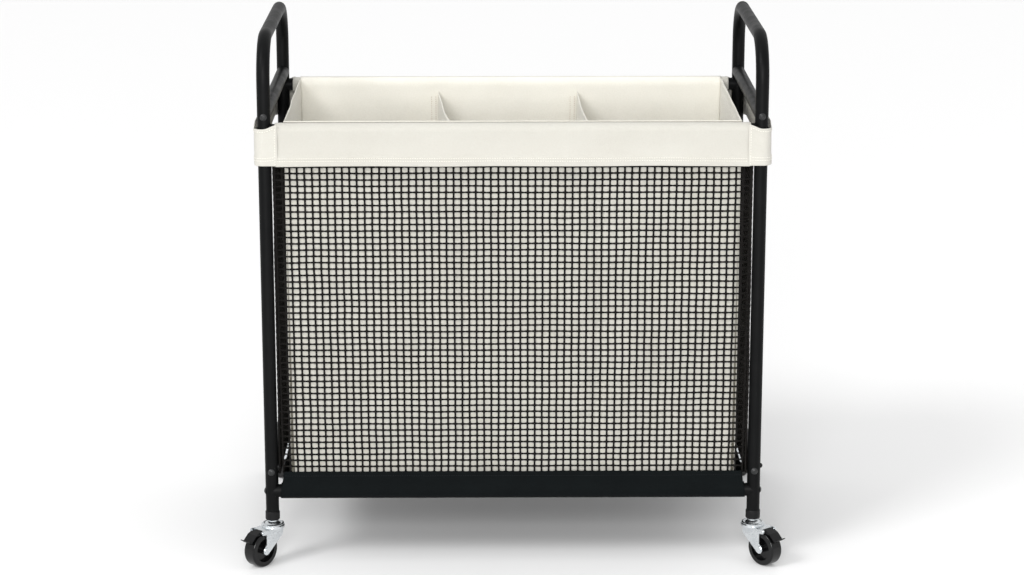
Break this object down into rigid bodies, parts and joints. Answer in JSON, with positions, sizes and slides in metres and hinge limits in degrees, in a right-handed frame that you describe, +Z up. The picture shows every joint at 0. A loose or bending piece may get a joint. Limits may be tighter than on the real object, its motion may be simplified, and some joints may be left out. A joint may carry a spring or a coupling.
{
  "type": "laundry cart",
  "caption": "Wheeled laundry hamper cart: tube frame with a push handle over each short side, cream fabric bag in compartments inside a black net, braked swivel casters.",
  "frame": {"origin": "on the floor under the middle of the cart", "axes": "+Z up, +X to the right seen from the front, front long side towards -Y"},
  "size_m": [0.7878, 0.4752, 0.7755],
  "materials": {
    "frame_black": "satin powder coat",
    "screw_black": "black oxide",
    "zinc": "bright zinc plate",
    "fabric_cream": "plain weave",
    "net_black": "knotted square net",
    "base_black": "coated weave",
    "board_cream": "matte",
    "plastic_black": "moulded",
    "pedal_black": "moulded",
    "wheel_black": "polished"
  },
  "bodies": {
    "root": {"handle_left": "frame_black", "handle_rail_left": "frame_black", "bottom_rail_left": "frame_black", "handle_right": "frame_black", "handle_rail_right": "frame_black", "bottom_rail_right": "frame_black", "top_rail_front": "frame_black", "bottom_rail_front": "frame_black", "top_rail_rear": "frame_black", "bottom_rail_rear": "frame_black", "post_front_left": "frame_black", "leg_front_left": "frame_black", "post_front_right": "frame_black", "leg_front_right": "frame_black", "post_rear_left": "frame_black", "leg_rear_left": "frame_black", "post_rear_right": "frame_black", "leg_rear_right": "frame_black", "handle_screws": "screw_black", "rail_screws": "screw_black", "rail_inserts": "zinc", "leg_pins": "plastic_black", "leg_sockets": "plastic_black", "caster_stems": "zinc", "header_front": "fabric_cream", "liner_front": "fabric_cream", "net_front": "net_black", "header_rear": "fabric_cream", "liner_rear": "fabric_cream", "net_rear": "net_black", "header_left": "fabric_cream", "liner_left": "fabric_cream", "net_left": "net_black", "header_right": "fabric_cream", "liner_right": "fabric_cream", "net_right": "net_black", "divider_left": "fabric_cream", "divider_right": "fabric_cream", "base_board_left": "board_cream", "base_board_middle": "board_cream", "base_board_right": "board_cream", "base_skirt": "base_black"},
    "fork_front_left": {"caster_fork_front_left": "zinc", "caster_axles_front_left": "zinc"},
    "wheel_front_left": {"caster_wheel_front_left": "wheel_black"},
    "brake_front_left": {"caster_brake_front_left": "pedal_black"},
    "fork_front_right": {"caster_fork_front_right": "zinc", "caster_axles_front_right": "zinc"},
    "wheel_front_right": {"caster_wheel_front_right": "wheel_black"},
    "brake_front_right": {"caster_brake_front_right": "pedal_black"},
    "fork_rear_left": {"caster_fork_rear_left": "zinc", "caster_axles_rear_left": "zinc"},
    "wheel_rear_left": {"caster_wheel_rear_left": "wheel_black"},
    "brake_rear_left": {"caster_brake_rear_left": "pedal_black"},
    "fork_rear_right": {"caster_fork_rear_right": "zinc", "caster_axles_rear_right": "zinc"},
    "wheel_rear_right": {"caster_wheel_rear_right": "wheel_black"},
    "brake_rear_right": {"caster_brake_rear_right": "pedal_black"}
  },
  "joints": [
    {"name": "swivel_front_left", "type": "hinge", "parent": "root", "child": "fork_front_left", "pos_m": [-0.35, -0.1875, 0.055], "axis": [0, 0, 1], "continuous": true},
    {"name": "roll_front_left", "type": "hinge", "parent": "fork_front_left", "child": "wheel_front_left", "pos_m": [-0.36671, -0.20742, 0.025], "axis": [0.766, -0.6428, 0], "continuous": true},
    {"name": "brake_front_left", "type": "hinge", "parent": "fork_front_left", "child": "brake_front_left", "pos_m": [-0.37057, -0.21201, 0.0528], "axis": [0.766, -0.6428, 0], "range_deg": [0, 14]},
    {"name": "swivel_front_right", "type": "hinge", "parent": "root", "child": "fork_front_right", "pos_m": [0.35, -0.1875, 0.055], "axis": [0, 0, 1], "continuous": true},
    {"name": "roll_front_right", "type": "hinge", "parent": "fork_front_right", "child": "wheel_front_right", "pos_m": [0.36671, -0.20742, 0.025], "axis": [0.766, 0.6428, 0], "continuous": true},
    {"name": "brake_front_right", "type": "hinge", "parent": "fork_front_right", "child": "brake_front_right", "pos_m": [0.37057, -0.21201, 0.0528], "axis": [0.766, 0.6428, 0], "range_deg": [0, 14]},
    {"name": "swivel_rear_left", "type": "hinge", "parent": "root", "child": "fork_rear_left", "pos_m": [-0.35, 0.1875, 0.055], "axis": [0, 0, 1], "continuous": true},
    {"name": "roll_rear_left", "type": "hinge", "parent": "fork_rear_left", "child": "wheel_rear_left", "pos_m": [-0.36671, 0.20742, 0.025], "axis": [-0.766, -0.6428, 0], "continuous": true},
    {"name": "brake_rear_left", "type": "hinge", "parent": "fork_rear_left", "child": "brake_rear_left", "pos_m": [-0.37057, 0.21201, 0.0528], "axis": [-0.766, -0.6428, 0], "range_deg": [0, 14]},
    {"name": "swivel_rear_right", "type": "hinge", "parent": "root", "child": "fork_rear_right", "pos_m": [0.35, 0.1875, 0.055], "axis": [0, 0, 1], "continuous": true},
    {"name": "roll_rear_right", "type": "hinge", "parent": "fork_rear_right", "child": "wheel_rear_right", "pos_m": [0.36671, 0.20742, 0.025], "axis": [-0.766, 0.6428, 0], "continuous": true},
    {"name": "brake_rear_right", "type": "hinge", "parent": "fork_rear_right", "child": "brake_rear_right", "pos_m": [0.37057, 0.21201, 0.0528], "axis": [-0.766, 0.6428, 0], "range_deg": [0, 14]}
  ]
}
